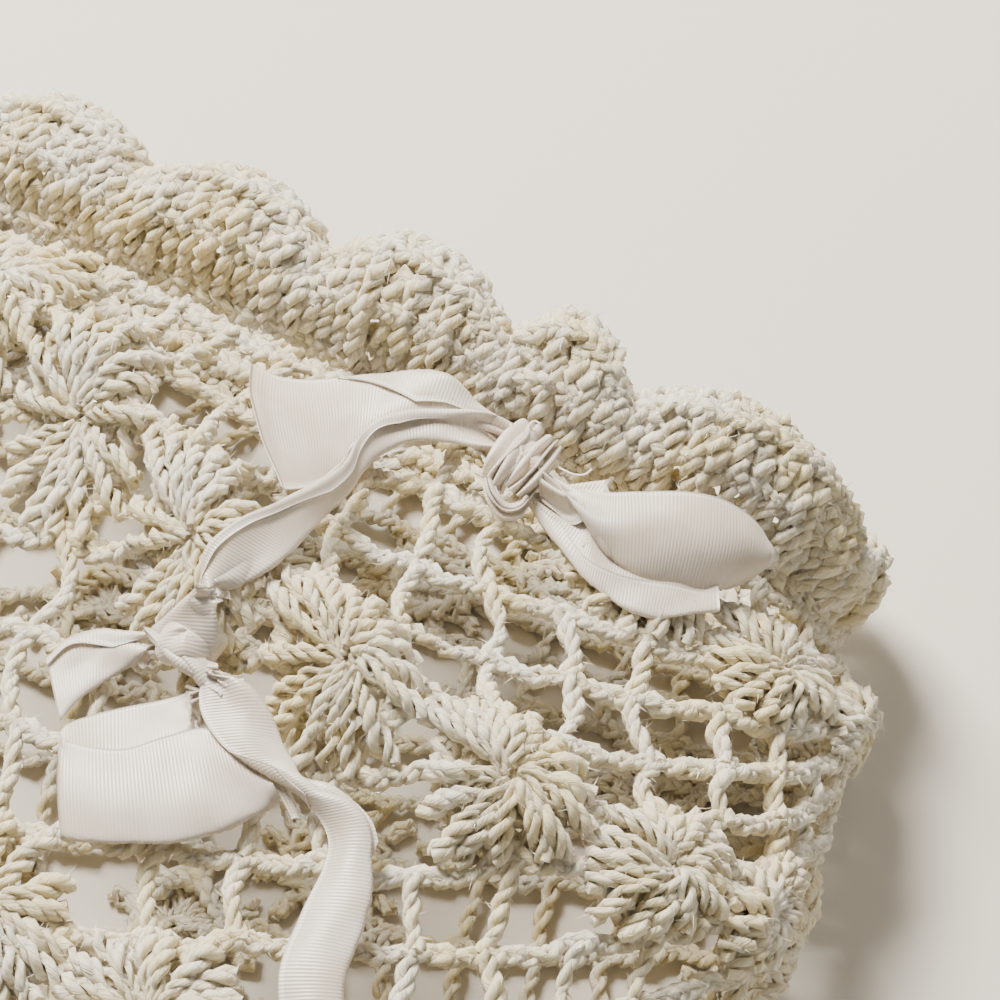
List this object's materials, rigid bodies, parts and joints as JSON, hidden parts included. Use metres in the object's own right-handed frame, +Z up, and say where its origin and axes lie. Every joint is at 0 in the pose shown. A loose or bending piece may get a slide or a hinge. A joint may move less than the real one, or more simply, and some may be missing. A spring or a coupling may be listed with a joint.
{
  "type": "crocheted baby bonnet",
  "caption": "Openwork crocheted baby bonnet in cream yarn, lying on its side, with a scalloped ruffle round the mouth and a tied white satin ribbon.",
  "frame": {"origin": "on the table under the middle of the bonnet's flattened underside", "axes": "+Z up from the table, +Y away from the viewer and towards the mouth, +X to the right"},
  "size_m": [0.154, 0.1853, 0.0547],
  "materials": {
    "yarn": "matt fuzzy yarn with fine glossy filaments",
    "ribbon": "satin with fine crosswise ribs"
  },
  "bodies": {
    "root": {"crown": "yarn", "ruffle": "yarn", "bow_knot": "ribbon", "bow_loop_right": "ribbon", "bow_tail_right": "ribbon", "bow_end_left": "ribbon", "tie_strand": "ribbon", "tie_knot": "ribbon", "tie_loop_upper": "ribbon", "tie_loop_lower": "ribbon", "tie_tail": "ribbon"}
  },
  "joints": []
}
